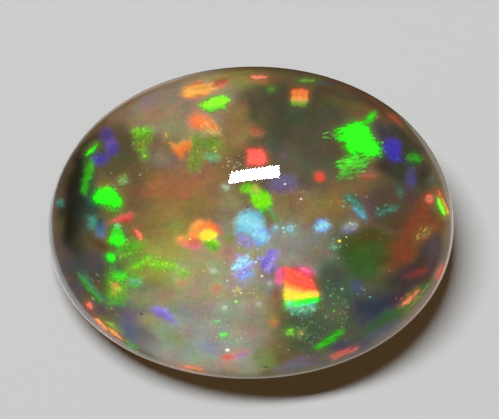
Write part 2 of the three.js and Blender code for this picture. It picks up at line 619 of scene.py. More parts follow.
def softOval(px, py, at, size, turn, edge):  # 1 in the middle of a turned oval, fading to 0 outside it
    spin = math.radians(turn)
    dx, dy = px - at[0], at[1] - py
    along = (dx * math.cos(spin) + dy * math.sin(spin)) / (size[0] * photo["perMillimetre"])
    beside = (dy * math.cos(spin) - dx * math.sin(spin)) / (size[1] * photo["perMillimetre"])
    return numpy.exp(-((along ** 2 + beside ** 2) ** edge))


def smooth(share):
    share = numpy.clip(share, 0, 1)
    return share * share * (3 - 2 * share)


def inward(outline, x, y):  # how many pixels each point lies inside an outline, less than 0 outside it
    nearest, inside = numpy.full(len(x), 1e9), numpy.zeros(len(x), bool)
    for (ax, ay), (bx, by) in zip(outline, outline[1:] + outline[:1]):
        ex, ey = bx - ax, by - ay
        if ey:
            inside ^= ((ay > y) != (by > y)) & (x < ex * (y - ay) / ey + ax)
        along = numpy.clip(((x - ax) * ex + (y - ay) * ey) / (ex * ex + ey * ey), 0, 1)
        nearest = numpy.minimum(nearest, numpy.hypot(x - ax - along * ex, y - ay - along * ey))
    return numpy.where(inside, nearest, -nearest)


def blend(place, stops, colours):  # the colour at each place between the stops
    return numpy.stack([numpy.interp(place, stops, channel) for channel in zip(*colours)], axis=1)


def cover(paint, colour, share):  # lays a colour over the paint
    paint += (colour - paint) * share[:, None]


def hueAt(p, along, up):  # a flash's hues at points given across its half sizes, each from -1 to 1
    place = (up + 1) / 2
    place = p["fanAt"] + (place - p["fanAt"]) * (1 + p["fan"] * along)
    return blend(place, numpy.linspace(0, 1, len(p["hues"])), [hues[name] for name in p["hues"]])


def middleOf(inner):  # 0 near the edge of a flash, 1 in its middle
    return smooth(1.6 * inner / inner.max() - 0.6)


# Paints the stone's colour near the edge and the painted reflection along the outline, as seen from the
# camera
def paintRimToneAndReflection(paint, px, py, facing):
    dx, dy = px - photo["middle"][0], photo["middle"][1] - py
    u, v = dx / photo["outline"][0], dy / photo["outline"][1]
    bearing, reach = numpy.degrees(numpy.arctan2(v, u)) % 360, numpy.hypot(u, v)
    furthest = numpy.zeros(361)
    numpy.maximum.at(furthest, numpy.rint(bearing).astype(int), reach)
    furthest[0] = furthest[360] = max(furthest[0], furthest[360])
    outermost = numpy.interp(bearing, numpy.arange(361), furthest)
    inside = (outermost - reach) * numpy.hypot(dx, dy) / numpy.maximum(reach, 0.01)  # in pixels
    shown = smooth(1 + facing / rimToneAndReflection["hiddenFade"])
    for layer in ("band", "line"):
        places, names, widths = zip(*rimToneAndReflection[layer])
        width = numpy.interp(bearing, places, widths)
        share = rimToneAndReflection["strength"][layer] * smooth(rimToneAndReflection["reach"][layer] - inside / width) * shown
        cover(paint, blend(bearing, places, [tones[name] for name in names]), share)


def paintBack(paint, points, facing):
    x, z = points[:, 0] / mm, points[:, 2] / mm
    stray = numpy.array([noise.noise(Vector(p) * backRange["wanderScale"]) for p in points])
    shine = backRange["brightness"] + backRange["flicker"] * stray
    hidden = smooth(-facing / backRange["hiddenFade"]) * (points[:, 1] > 0)
    for (across, up), (wide, tall), hue in backFlashes:
        reach = numpy.hypot((x - across) / wide, (z - up) / tall) + backRange["wander"] * stray
        share = smooth((backRange["gone"] - reach) / (backRange["gone"] - backRange["full"])) * hidden
        cover(paint, numpy.array(hues[hue]) * shine[:, None], backRange["strength"] * share)


paintedFlash = dict(
    grain=1.3,  # how much coarser its grain is than a plate's, and how much softer its edge
    softness=1.5,
    flicker=0.6,
    strength=1.15,
)


def paintFlash(paint, px, py, p):  # the glow of a plate on the surface, or the whole of a painted flash
    (cx, cy), half = spanOf(p["outline"], p["turn"])
    near = numpy.hypot(px - cx, py - cy) < sum(half) + cloudRange["bloomReach"] * 2
    x, y, spin = px[near], py[near], math.radians(p["turn"])
    dx, dy = x - cx, cy - y
    along, up = dx * math.cos(spin) + dy * math.sin(spin), dy * math.cos(spin) - dx * math.sin(spin)
    hue = hueAt(p, along / half[0], up / half[1])
    inner = inward(p["outline"], x, y)
    paint[near] += hue * (p["bloom"] * smooth(1 + inner / cloudRange["bloomReach"]) ** 2)[:, None]
    if p["painted"]:
        grain = p["grain"] * photo["perMillimetre"] * paintedFlash["grain"]
        fleck = numpy.array([
            noise.noise((u / grain / p["streak"], v / grain, cx)) for u, v in zip(along, up)
        ])
        inner += p["ragged"] * fleck
        share = smooth(inner / p["edge"] / paintedFlash["softness"] + 0.5)
        share *= 1 - p["hollow"] * middleOf(inner)
        share *= min(1, paintedFlash["strength"] * p["halo"])
        hue = hue * (p["shine"] * (1 + paintedFlash["flicker"] * p["contrast"] * fleck))[:, None]
    else:
        share = p["halo"] * smooth(inner / cloudRange["haloEdge"] + 0.5)
        hue = hue * p["glow"]
    paint[near] += (hue - paint[near]) * share[:, None]


def paintClouds():
    noise.seed_set(cloudRange["seed"])
    mesh = body.data
    points = numpy.empty(len(mesh.vertices) * 3)
    mesh.vertices.foreach_get("co", points)
    points = points.reshape(-1, 3)
    px, py = pixelsOf(points)
    scale = cloudRange["wanderScale"]
    wander = numpy.array([noise.noise_vector(Vector(p) * scale) for p in points]) * cloudRange["wander"]
    wx, wy = px + wander[:, 0], py + wander[:, 1]
    paint = numpy.tile(numpy.array(tones["umber"]), (len(points), 1))
    for w in washes:
        share = w["strength"] * smooth(inward(w["outline"], wx, wy) / w["edge"] + 0.5)
        cover(paint, tones[w["tone"]], share)
    for c in clouds:
        share = c["strength"] * softOval(wx, wy, c["at"], c["size"], c["turn"], c["edge"])
        cover(paint, tones[c["tone"]], share)
    for (wide, tall), depth in cloudRange["mottles"]:
        tints = [noise.noise_vector((x / wide, y / tall, depth)) for x, y in zip(px, py)]
        paint *= 1 + depth * numpy.array(tints)
    normals = numpy.empty(len(mesh.vertices) * 3)
    mesh.vertices.foreach_get("normal", normals)
    towards = numpy.array(camera.location) - points
    facing = (normals.reshape(-1, 3) * towards).sum(axis=1) / numpy.linalg.norm(towards, axis=1)
    paintRimToneAndReflection(paint, px, py, facing)
    paintBack(paint, points, facing)
    for p in patches:
        paintFlash(paint, px, py, p)
    low, mid, high = cloudRange["underLevels"]
    level = points[:, 2]
    paint *= smooth((level - cloudRange["darkBelow"]) / (high - cloudRange["darkBelow"]))[:, None]
    # the painted glow low down in the girdle
    share = smooth(numpy.interp(level, (low, mid, high), (0, 1, 0)))
    paint += numpy.array(cloudRange["underGlow"]) * share[:, None]
    layer = mesh.attributes.new("cloud", "FLOAT_COLOR", "POINT")
    layer.data.foreach_set("color", numpy.c_[paint, numpy.ones(len(paint))].ravel().astype("f"))


# Hues of the flashes and the grains
hues = dict(
    green=light(24, 250, 10),
    grass=light(44, 186, 28),
    fern=light(36, 112, 36),
    forest=light(28, 74, 34),
    lime=light(126, 240, 24),
    leaf=light(98, 168, 34),
    olive=light(120, 138, 48),
    yellow=light(252, 226, 60),
    gold=light(184, 156, 60),
    amber=light(248, 172, 84),
    orange=light(250, 126, 56),
    red=light(246, 78, 48),
    brick=light(160, 60, 44),
    coral=light(248, 92, 84),
    salmon=light(230, 124, 98),
    magenta=light(222, 70, 96),
    pink=light(252, 104, 160),
    lilac=light(156, 142, 216),
    violet=light(112, 92, 196),
    indigo=light(66, 52, 190),
    sky=light(112, 168, 248),
    ice=light(156, 228, 246),
    cyan=light(100, 190, 214),
    teal=light(66, 140, 120),
    sea=light(44, 92, 84),
    mint=light(122, 196, 132),
    pearl=light(206, 220, 210),
    lemon=light(206, 200, 110),
)


def oval(at, size, turn=0):  # ten corners round a turned oval: pixel, half sizes in pixels
    spin = math.radians(turn)
    corners = []
    for i in range(10):
        u, v = size[0] * math.cos(math.tau * i / 10), size[1] * math.sin(math.tau * i / 10)
        corners.append((at[0] + u * math.cos(spin) - v * math.sin(spin),
                        at[1] - u * math.sin(spin) - v * math.cos(spin)))
    return corners


def patch(outline, hue, turn=0, depth=0.45, ragged=1.6, grain=0.08, streak=1.0, edge=3.0, contrast=0.5,
          shine=1.0, halo=0.8, glow=0.4, fan=0.0, fanAt=0.5, hollow=0.0, base=0.12, bloom=0.1, painted=False):
    return dict(outline=outline, hues=hue.split(), turn=turn, depth=depth * mm, ragged=ragged, grain=grain,
                streak=streak, edge=edge, contrast=contrast, shine=shine, halo=halo, glow=glow, fan=fan,
                fanAt=fanAt, hollow=hollow, base=base, bloom=bloom, painted=painted)


def soft(*values, **more):  # a soft flash, painted on the surface
    return patch(*values, painted=True, **more)


# The flashes: patch() makes a sharp one, a thin ragged plate under the dome, and soft() one that is only
# painted on the surface. In order: the corners in pixels, the hues from bottom to top, the turn in degrees,
# the depth in mm, raggedness in pixels, grain in mm and how far it streaks along the turn, the pixels over
# which the edge dims, contrast, brightness, the strength and brightness of the halo, how much the hues fan
# out along the turn and from which share of the height, how far the middle dims, the brightness at the edge,
# and the strength of the wide glow
patches = [
    # the large green flash at the upper right, with its tail
    patch([(350, 123), (354, 121.5), (362, 121.5), (366.5, 125), (370, 128.5), (372, 133), (374, 138),
        (378, 142), (381, 147.5), (381, 155), (376, 156), (373, 158), (368.5, 156.5), (363.5, 155.5),
        (358, 154.5), (350, 155.5), (348.5, 152), (344, 148.5), (344.5, 143), (339.5, 141), (336, 137),
        (339, 134.5), (333.5, 132), (338, 129), (343, 126.5), (347, 124.5)], "green", 10, depth=0.35,
        ragged=4.4, grain=0.042, streak=4.0, halo=0.85, glow=0.34),
    soft([(362, 123), (367.5, 116.5), (370, 113.5), (375.5, 111.5), (375, 117), (371.5, 121.5), (367, 125)],
        "grass green grass", 40, ragged=1.8, grain=0.05, streak=2.0, contrast=0.7, shine=0.85),
    patch([(348, 156), (367, 155), (370, 159), (366, 166), (363.5, 170.5), (358, 175.5), (350, 177),
        (340, 181), (337.5, 176.5), (340, 170.5), (336.5, 165), (340, 162)], "fern grass green", 14,
        depth=0.4, ragged=5.0, grain=0.05, streak=6.0, edge=3.2, contrast=1.2, halo=0.5, glow=0.3),
    # the orange square and the flashes along the top
    patch([(290, 104), (291, 89), (300, 87.5), (309, 90), (309, 98), (307, 106), (304, 107.5),
        (292, 106.5)], "olive leaf amber orange orange red", -3, depth=0.4, ragged=1.4, grain=0.05,
        streak=0.35, edge=2.2, contrast=0.7, shine=0.8, halo=0.6, glow=0.3),
    patch([(249, 78), (252, 75), (262, 74.5), (268, 76.5), (266, 79), (256, 80)], "salmon", depth=0.2,
        ragged=0.8, edge=2),
    patch([(296, 81), (304, 78.5), (317, 79.5), (314, 82.5), (302, 83)], "fern leaf", -3, depth=0.2,
        ragged=1.0, edge=1.8, shine=0.9, halo=0.5),
    soft([(206, 81), (220, 76.5), (234, 72.5), (249, 70.5), (246, 73.5), (232, 77.5), (218, 80.5)],
        "olive gold", 18, ragged=1.2, grain=0.06, streak=3, edge=2.0, shine=0.8, halo=0.5),
    patch(oval((271, 89), (4, 3)), "leaf", depth=0.4, ragged=2.4, shine=0.6, halo=0.3),
    soft([(181, 94.5), (183.5, 89), (191, 84.5), (201, 82.5), (209.5, 85), (217.5, 84.5), (215, 90),
        (207.5, 93.5), (203, 97), (191, 97.5), (185.5, 97)], "orange amber amber orange", 8, ragged=2.8,
        streak=2.4, edge=3.4, contrast=0.6),
    soft(oval((190, 92), (4, 2.6), 8), "yellow", halo=0),
    soft(oval((206, 88), (5, 2.2), 12), "yellow", shine=0.9, halo=0),
    soft([(211, 86), (216, 80.5), (224, 78.5), (228, 80.5), (224.5, 86), (218, 88)], "salmon brick", 15,
        ragged=1.8, edge=3.4, shine=0.9),
    patch([(198, 105), (204.5, 100.5), (212, 97), (222, 95), (229.5, 97), (230.5, 100.5), (226.5, 105),
        (226, 109), (218, 110), (212, 112.5), (204.5, 111)], "grass lime lime", 10, depth=0.35, ragged=2.0,
        grain=0.06, streak=1.6, halo=0.85, contrast=0.4),
    soft(oval((198.5, 121.5), (10, 8)), "salmon orange salmon", 130, ragged=1.8, grain=0.1, edge=6.5,
        contrast=0.3, shine=1.1),
    soft([(203, 120), (208, 118), (214, 124), (218, 128), (214, 132), (207, 131)], "orange amber", 130,
        ragged=2.4, grain=0.05, streak=4, edge=3.4, contrast=0.9, shine=1.1, halo=0.6),
    soft([(171, 143.5), (178, 144.5), (183.5, 142), (191, 141), (191.5, 144.5), (189, 149.5), (183.5, 153),
        (181.5, 157.5), (177.5, 154), (174, 150.5)], "orange orange amber", 20, grain=0.1, edge=4.4,
        contrast=0.3),
    patch([(163.5, 132), (167.5, 131.5), (168, 138), (165, 141.5)], "gold", 90, depth=0.4, ragged=1.2,
        shine=0.9, halo=0.4),
    patch([(246, 166), (246.5, 148.5), (262, 148), (267, 153), (268, 162), (262.5, 166.5)], "coral", 4,
        depth=0.6, ragged=1.4, grain=0.1, edge=3.6, contrast=0.2, halo=0.85, glow=0.5),
    soft(oval((256, 131), (7, 4), -15), "salmon brick", ragged=2.0, edge=4.4, shine=0.9, halo=0.5),
    # the speckled greens at the upper left
    soft([(133, 132), (139, 129), (145, 128), (152, 129), (153, 136), (150, 142.5), (146, 145.5),
        (148, 149.5), (142, 152), (136.5, 148.5), (134.5, 143), (136.5, 139)], "leaf olive leaf lime", 20,
        ragged=4.0, grain=0.05, edge=5, contrast=1.0, halo=0.7),
    patch(oval((144.5, 156), (2.6, 2.2)), "lime", depth=0.4, ragged=1, halo=0.4),
    soft([(191, 138), (196, 135), (201, 137.5), (201, 142), (200, 145.5), (201, 151.5), (200, 160),
        (197, 170), (190, 169), (190, 160), (192, 151.5), (191, 143.5)], "leaf olive leaf gold", 80,
        ragged=3.0, grain=0.06, edge=7, contrast=1.0, halo=0.62),
    soft([(202, 138), (209.5, 132), (218, 133), (222, 140), (220, 145.5), (222, 150), (219, 156),
        (212, 157), (204, 153), (204, 145.5)], "leaf olive leaf olive lemon", 4, ragged=4.0, grain=0.06,
        edge=7, contrast=0.8, halo=0.6),
    soft(oval((212, 158), (8, 5.5), -30), "sea mint teal", ragged=3.6, grain=0.06, contrast=1.0, halo=0.5),
    # the left side
    patch([(92, 196.5), (95, 191), (98, 188), (107.5, 186), (114, 188.5), (119, 194.5), (123, 199.5),
        (122, 205), (119, 208.5), (112.5, 208.5), (107.5, 207), (102.5, 205), (96, 204), (92.5, 200.5)],
        "green", -18, depth=0.35, ragged=3.4, grain=0.045, streak=1.8, edge=3.4, contrast=0.2, halo=0.9),
    patch([(104, 207), (121, 207), (118, 213), (110, 214)], "fern grass", depth=0.4, ragged=2.4, grain=0.05,
        streak=0.4, contrast=1.0, shine=0.8, halo=0.5, glow=0.3),
    soft(oval((105, 183), (6, 3.4), 10), "gold olive", ragged=2.6, edge=4, shine=0.55, halo=0.5),
    patch([(85.5, 155), (87.5, 150.5), (92, 147), (96, 144), (98.5, 144.5), (96, 149.5), (92, 153.5),
        (87.5, 156.5)], "grass green lime", 48, depth=0.25, ragged=1.2, grain=0.06, streak=2, edge=2.2),
    soft(oval((107, 135.5), (5, 6.4), 20), "indigo", 30, ragged=2.4, edge=7, shine=0.7, halo=0.55),
    soft(oval((112, 147.5), (5, 6.4), -10), "indigo violet", 30, ragged=2.4, edge=7, shine=0.9, halo=0.65),
    soft([(93, 158), (97, 155), (106.5, 155.5), (107.5, 160), (101.5, 164), (95, 164)], "indigo",
        ragged=2.0, grain=0.1, edge=6.5, shine=0.9, halo=0.6),
    soft([(85.5, 162), (92, 160), (95, 165), (94.5, 172), (92, 179), (89, 187), (85.5, 194), (81.5, 191),
        (82.5, 181), (83.5, 171)], "fern grass grass fern", 76, ragged=2.4, grain=0.06, streak=2.5, edge=6,
        contrast=0.9, shine=0.85, halo=0.72),
    patch(oval((123, 181), (5, 6)), "fern mint leaf", depth=0.5, ragged=5.5, grain=0.05, contrast=1.1,
        shine=0.75, halo=0.3, glow=0.3, hollow=0.5),
    soft(oval((60, 204), (4, 4.2)), "sea teal", ragged=2.0, edge=4),
    soft([(88, 217), (95, 216), (97.5, 222), (96, 229), (90, 229)], "teal", 20, ragged=2.4, edge=4,
        contrast=0.7, halo=0.85),
    soft([(98, 219), (103, 218), (104.5, 228), (103, 235.5), (98, 235), (96, 228)], "sky sea", 20,
        ragged=2.4, edge=4, shine=0.5, contrast=0.6, halo=0.75),
    soft([(108, 224), (114, 219.5), (121, 215.5), (129, 212.5), (133, 214), (132, 220), (126, 223),
        (117, 223)], "brick coral salmon", 10, grain=0.07, edge=2.8, contrast=0.4, shine=0.85),
    patch([(133.5, 229.5), (137.5, 229), (142, 233.5), (143.5, 240), (140, 241.5), (135.5, 236)],
        "coral salmon", -55, depth=0.4, ragged=0.9, edge=2.4),
    patch([(111, 229), (113.5, 223.5), (118, 222.5), (121.5, 226), (123.5, 232.5), (126, 240), (124, 247),
        (118, 249), (111.5, 246), (107.5, 242), (109.5, 235)], "grass green grass mint", -8, depth=0.35,
        ragged=2.4, grain=0.06, edge=2.8, halo=0.85),
    patch([(105.5, 255.5), (109.5, 251.5), (115, 254.5), (117, 258.5), (112.5, 264), (107.5, 261.5)],
        "green", depth=0.35, ragged=1.8, grain=0.06, edge=2.4, shine=0.9),
    patch([(114, 271), (120, 270), (127.5, 271), (128, 278.5), (122, 283), (116, 282), (111.5, 277.5)],
        "green grass", depth=0.4, ragged=3.6, grain=0.055, edge=4, contrast=0.9, shine=0.85, halo=0.6,
        glow=0.35),
    soft([(106, 272), (112, 270), (115, 284), (114, 298), (108, 306), (104, 292), (104, 282)],
        "grass leaf fern", 84, ragged=3.0, grain=0.055, streak=2, edge=6.5, contrast=1.2, halo=0.52),
    soft([(112, 284), (116, 282), (119, 287), (118, 293), (113, 294)], "gold amber", ragged=1.8, edge=2.8,
        shine=0.95),
    soft([(117, 288), (124, 286), (128, 296), (123, 304), (114, 303)], "grass leaf lime", 10, ragged=3.0,
        grain=0.055, edge=6.5, contrast=1.2, halo=0.52),
    soft([(129, 277), (134, 275), (141, 278), (141, 285), (135, 288), (129, 285)], "grass mint grass",
        ragged=2.6, grain=0.06, edge=4, contrast=0.9, shine=0.9),
    soft([(129, 268), (136, 261), (147, 255.5), (151, 259), (146, 266), (136, 272)], "leaf lime grass", 28,
        ragged=3.4, grain=0.06, edge=6, contrast=0.9, halo=0.55),
    soft(oval((157, 264), (6, 7)), "leaf lime olive", ragged=3.4, grain=0.06, edge=6, contrast=0.8,
        halo=0.6),
    soft(oval((170, 265), (7, 6.5)), "leaf lime olive", ragged=3.4, grain=0.06, edge=6, contrast=0.8,
        halo=0.5, hollow=0.4),
    soft(oval((183, 274), (7, 4), 10), "leaf lime", ragged=3, grain=0.06, edge=4, contrast=1.0, halo=0.45),
    soft(oval((132, 250), (13, 9), 30), "fern leaf grass leaf", 20, ragged=7.0, grain=0.07, edge=5,
        contrast=1.4, halo=0.55),
    soft([(79.5, 273), (85, 272), (92, 281), (97, 290), (106, 298.5), (100, 302), (89, 292.5), (82, 284.5)],
        "fern grass teal fern", -50, ragged=3.4, grain=0.055, streak=3, edge=4.5, contrast=1.4, halo=0.5),
    patch([(84.5, 305), (89, 300.5), (93, 306), (92, 312), (87.5, 308.5)], "coral salmon", -60, depth=0.2,
        ragged=1.2, edge=2.2),
    patch([(93, 318), (98, 319), (104, 325), (109, 331), (104, 330.5), (97, 323.5)], "orange amber", -42,
        depth=0.2, ragged=1.2, grain=0.05, streak=4, edge=1.8, contrast=0.7, halo=0.5, glow=0.35),
    patch([(106, 327), (112, 329), (118, 334), (124, 341), (119, 340), (111, 334)], "orange amber", -40,
        depth=0.2, ragged=1.2, grain=0.05, streak=4, edge=1.8, contrast=0.7, halo=0.5, glow=0.35),
    patch([(104, 321), (112, 323), (122, 332.5), (117, 331.5), (109, 327)], "olive leaf lime", -35,
        depth=0.2, ragged=1.2, streak=3, edge=2, shine=0.8, halo=0.4),
    patch([(122, 338), (131, 342), (141, 347.5), (137, 350), (128, 346)], "grass fern", -28, depth=0.2,
        ragged=1.4, grain=0.05, streak=4, edge=2, contrast=0.8, shine=0.85, halo=0.4),
    # the middle: the curled rainbow, the green under the highlight, the cyan and violet haze
    soft([(188, 236), (191, 226), (199, 220), (209.5, 221), (219, 228), (221, 233), (214, 231.5),
        (206, 229), (199, 232), (197, 240), (191, 241)], "red orange amber", 55, grain=0.1, edge=4.2,
        contrast=0.25, shine=1.1),
    soft([(199, 237), (200, 231.5), (204, 228.5), (212, 229.5), (217, 234), (215, 239), (209.5, 241),
        (204, 241)], "yellow yellow yellow amber", 20, ragged=1.2, grain=0.1, edge=3.2, contrast=0.2,
        shine=1.15, halo=0.9),
    soft([(205, 242), (210, 239), (216, 238), (219, 246), (217, 251.5), (211, 250), (206.5, 246)],
        "grass leaf lime lemon", -20, ragged=1.8, grain=0.07, edge=3.6, shine=1.05),
    soft([(183.5, 242), (191, 239), (199, 240), (200, 247), (193, 248.5), (185.5, 246)],
        "pink salmon coral", ragged=2.0, edge=4),
    soft([(176, 237), (184, 236), (188, 241), (183, 244.5), (177.5, 242.5)], "salmon amber", edge=3.4,
        shine=1.1),
    soft(oval((228.5, 239), (5.5, 3.8), 10), "olive leaf", ragged=2.6, edge=3.4, shine=0.9, halo=0.4),
    soft([(250, 191), (255, 188.5), (262.5, 190), (270, 195.5), (272, 204), (269, 209), (262, 213.5),
        (255, 206), (251, 200)], "grass lime lime grass", 14, ragged=1.8, edge=4, contrast=0.3, halo=0.85),
    soft([(266, 208), (273, 211), (280, 219), (281, 225), (274, 221), (267, 214)], "leaf mint", -45,
        ragged=2.4, grain=0.06, streak=2, edge=3.4, contrast=0.8, shine=0.75, halo=0.5),
    soft([(240, 188), (244, 183), (251, 183), (254, 187), (250, 192), (243, 192)], "lime leaf", ragged=2.0,
        grain=0.07, shine=0.95),
    soft(oval((255.5, 190), (3.4, 4)), "lemon yellow", shine=0.85, halo=0.5),
    soft([(236, 222), (241, 214), (250, 211), (259, 213.5), (263, 221), (262, 229), (254, 233), (245, 234),
        (238, 231)], "cyan ice cyan", -20, ragged=3.0, grain=0.09, edge=6.0, contrast=0.25, shine=1.05,
        halo=0.87, bloom=0.25),
    soft([(252, 234), (258, 229), (266, 229), (270, 235), (267, 242), (260, 245), (254, 242)],
        "sky ice sky", -20, ragged=2.6, edge=5.0, contrast=0.25, halo=0.85),
    soft([(236, 233), (246, 236), (254, 243), (250, 248), (240, 243)], "lilac", -20, ragged=3.0, grain=0.06,
        edge=5, contrast=0.9, halo=0.7),
    soft([(233, 263), (238, 256), (247, 256.5), (253, 264), (251, 275), (243, 280), (235, 275)],
        "sky lilac ice lilac", 30, ragged=4.6, grain=0.06, edge=5.0, contrast=1.0, shine=1.1, halo=0.85),
    soft([(259.5, 258.5), (266.5, 255), (271, 249), (278, 250.5), (277, 257), (273, 262), (275, 269),
        (269, 273), (262, 269)], "violet lilac violet lilac", 60, ragged=3.6, grain=0.06, edge=4.6,
        contrast=0.9, shine=1.1, halo=0.85),
    soft([(314.5, 226.5), (319, 220), (326, 220.5), (330, 226), (325, 231.5), (317.5, 230.5)],
        "sky ice sky", 20, ragged=2.4, grain=0.07, edge=4, contrast=0.6, halo=0.85),
    soft(oval((275, 229), (4, 3), 30), "cyan ice", halo=0.4),
    patch(oval((290, 229), (4.6, 4.6)), "cyan ice", depth=0.5, ragged=1.2, edge=2.6, shine=0.8, halo=0.4,
        hollow=0.85),
    soft(oval((283, 184), (13, 8), 6), "violet lilac", ragged=3.0, edge=10, shine=0.6, halo=0.5,
        bloom=0.05),
    patch(oval((214, 271), (4.8, 4.4)), "mint pearl mint", depth=0.5, shine=0.7, halo=0.5, hollow=0.6),
    patch(oval((226, 188), (4.6, 3.6)), "mint pearl", depth=0.5, ragged=2.4, grain=0.05, shine=0.75,
        halo=0.3, hollow=0.5),
    soft([(152, 309), (158, 306.5), (165, 308), (170, 312), (174, 318), (177, 323), (170, 322),
        (163, 317.5), (155, 314.5)], "violet lilac", -30, grain=0.1, edge=3.4, contrast=0.3, shine=1.1),
    # the rainbow block
    soft([(275, 277), (277, 270), (282, 267), (286, 268), (286, 281), (281, 285), (276, 283)], "pink", -6,
        grain=0.06, streak=1.5, edge=2.6, contrast=0.3, halo=0.7),
    soft([(302, 267), (309, 267.5), (313, 273), (312, 280), (304, 281)], "magenta", -6, ragged=1.4,
        grain=0.06, contrast=0.4, halo=0.6),
    patch([(283, 267.5), (306.5, 266.5), (311.5, 271), (314, 280), (316, 286), (320, 293), (320, 299),
        (319, 304), (306, 307.5), (291.5, 308), (284, 306), (283, 297), (283, 284)],
        "grass green green lime yellow yellow amber orange red coral red coral red magenta magenta pink", 4,
        depth=0.4, ragged=1.5, grain=0.06, streak=3.0, edge=2.8, shine=0.85, halo=0.85, fan=0.55,
        fanAt=0.25),
    soft([(286, 303), (302, 305), (314, 303), (315, 310), (306, 314.5), (292, 314), (286, 309)],
        "teal mint cyan", -4, ragged=3.4, grain=0.05, streak=1.4, contrast=1.0, shine=0.95, halo=0.75),
    soft(oval((276, 292), (3.6, 6)), "brick", ragged=2.4, edge=5, shine=0.9, halo=0.35),
    # the right side
    soft([(383.5, 147.5), (386.5, 140), (396, 139.5), (401, 143.5), (400, 151.5), (400.5, 160),
        (392.5, 160.5), (388, 156), (385, 151.5)], "indigo", 50, ragged=2.0, edge=4.4, shine=0.95,
        halo=0.7),
    soft(oval((415, 158), (6.5, 5.4), -40), "fern grass fern", ragged=3.8, grain=0.06, edge=4.4,
        contrast=0.8, shine=0.85, halo=0.75),
    soft(oval((319.8, 177), (4.4, 4.8)), "red coral", ragged=1.0, shine=0.95),
    soft([(358, 175.5), (370, 172.5), (377, 175), (374, 178.5), (362.5, 180)], "brick salmon", 3,
        ragged=2.0, grain=0.07, streak=3, contrast=0.7, halo=0.4),
    patch(oval((429.5, 199), (4.8, 5.6)), "red salmon red", depth=0.25, ragged=1.4, grain=0.05, edge=2.6,
        contrast=0.7, shine=0.85, halo=0.5, hollow=0.6),
    patch([(437.5, 197), (440.5, 198), (444, 204.5), (446.5, 212), (445, 217), (440, 211), (437, 203.5)],
        "grass lime green", 118, depth=0.12, ragged=1.2, grain=0.05, edge=1.6),
    patch([(441, 196.5), (444, 200), (448, 207.5), (449, 214), (447, 216), (446, 209), (443, 203)],
        "orange yellow orange", 118, depth=0.1, ragged=0.8, grain=0.05, edge=1.4),
    patch([(436.5, 190), (439.5, 190.5), (442, 196), (440, 198)], "red", 118, depth=0.12, ragged=0.8,
        edge=1.6),
    soft([(341.5, 197.5), (348, 194.5), (356.5, 197), (362, 204), (364, 211), (364.5, 217.5), (359.5, 214),
        (355, 206), (347, 202)], "sea teal sea", -40, ragged=2.8, grain=0.06, streak=1.8, edge=5.5,
        contrast=0.9, shine=0.9),
    soft([(353, 207.5), (357, 207.5), (362, 212), (365.5, 217.5), (361.5, 217.5), (356.5, 213)], "cyan",
        -45, ragged=1.2, grain=0.06, streak=2, edge=2.2, shine=0.85),
    soft([(378, 217), (380, 209), (387.5, 206), (397, 206.5), (395, 211), (386, 213.5)], "sea teal sea", 20,
        ragged=3.4, grain=0.055, edge=5, contrast=1.0, shine=0.85, halo=0.7),
    soft(oval((400, 191.5), (2.4, 5.6), 4), "teal sea", ragged=2.2, edge=2.8, shine=0.9, halo=0.6),
    soft(oval((411.5, 178), (2.6, 8)), "violet", ragged=1.8, shine=0.5, halo=0.5),
    soft(oval((350, 227.5), (7, 4), 24), "lilac pearl", ragged=2.2, grain=0.06, edge=3.6, contrast=1.0,
        shine=0.8, halo=0.6, hollow=0.6),
    patch(oval((334, 248), (4, 3.4), 20), "sea mint", depth=0.5, ragged=2.6, grain=0.06, edge=2.8, halo=0.4,
        glow=0.3),
    soft(oval((367, 262), (22, 15), 38), "fern forest fern", ragged=9, grain=0.16, streak=2, edge=14,
        contrast=0.8, halo=0.26, bloom=0.02),
    soft(oval((416, 273), (12, 1.8), 22), "brick", ragged=2.4, grain=0.1, streak=5, shine=0.7, halo=0.5),
    patch([(400, 306), (404, 301), (412.5, 294.5), (418, 289), (419.5, 291), (415, 297.5), (408.5, 303.5),
        (402, 307)], "salmon orange", 43, depth=0.2, ragged=2.0, grain=0.045, streak=4, edge=1.8,
        contrast=1.1, shine=0.8, halo=0.5),
    patch([(405, 311), (413, 303), (421, 294), (427, 284), (430, 282.5), (427, 290), (419, 300),
        (410, 309)], "fern leaf fern", 50, depth=0.16, grain=0.05, streak=4, edge=2.4, contrast=0.9,
        shine=0.75, halo=0.4),
    soft([(436, 277.5), (438.5, 269), (443, 264), (444.5, 266), (442, 272), (439, 278)], "coral salmon", 60,
        ragged=1.4, edge=2.6, shine=0.9, halo=0.7),
    soft([(314.5, 347), (321, 341), (330, 334), (339, 329.5), (343, 332.5), (336.5, 340.5), (327.5, 346.5),
        (318, 350)], "fern grass grass fern", 33, ragged=3.0, grain=0.055, streak=3, edge=4, contrast=1.0,
        shine=0.95),
    soft([(331, 356.5), (339.5, 352), (350, 348.5), (357.5, 347), (356.5, 350), (346, 354.5), (333, 359)],
        "salmon coral", 20, grain=0.05, streak=4, edge=1.8, contrast=0.7, shine=0.95, halo=0.5),
    soft(oval((384, 320), (24, 4), 32), "forest fern", 32, ragged=4.8, streak=4, edge=6, contrast=0.9,
        shine=0.85, halo=0.4),
    # the milky lower side
    soft([(222, 357.5), (228.5, 354.5), (235, 355.5), (235, 359), (226.5, 360.5)], "salmon coral", 6,
        ragged=1.8, grain=0.07, shine=0.85),
    soft([(232, 356), (240, 352), (249, 351), (247, 355.5), (238, 358)], "lilac pink", 12, edge=3.4,
        shine=0.75, halo=0.5),
    patch([(181.5, 366), (190, 366), (203, 369.5), (201, 371.5), (189, 369.5)], "orange", -12, depth=0.12,
        ragged=1.4, streak=3, edge=1.8, shine=0.65, halo=0.4, glow=0.35),
    patch(oval((218, 322), (4, 2.6), 20), "grass mint", depth=0.4, ragged=1.8, shine=0.8, halo=0.4),
    patch(oval((223.5, 335), (4.6, 3.8), 30), "grass green grass", depth=0.4, ragged=2.6, grain=0.055,
        edge=2.8, shine=0.85, halo=0.5),
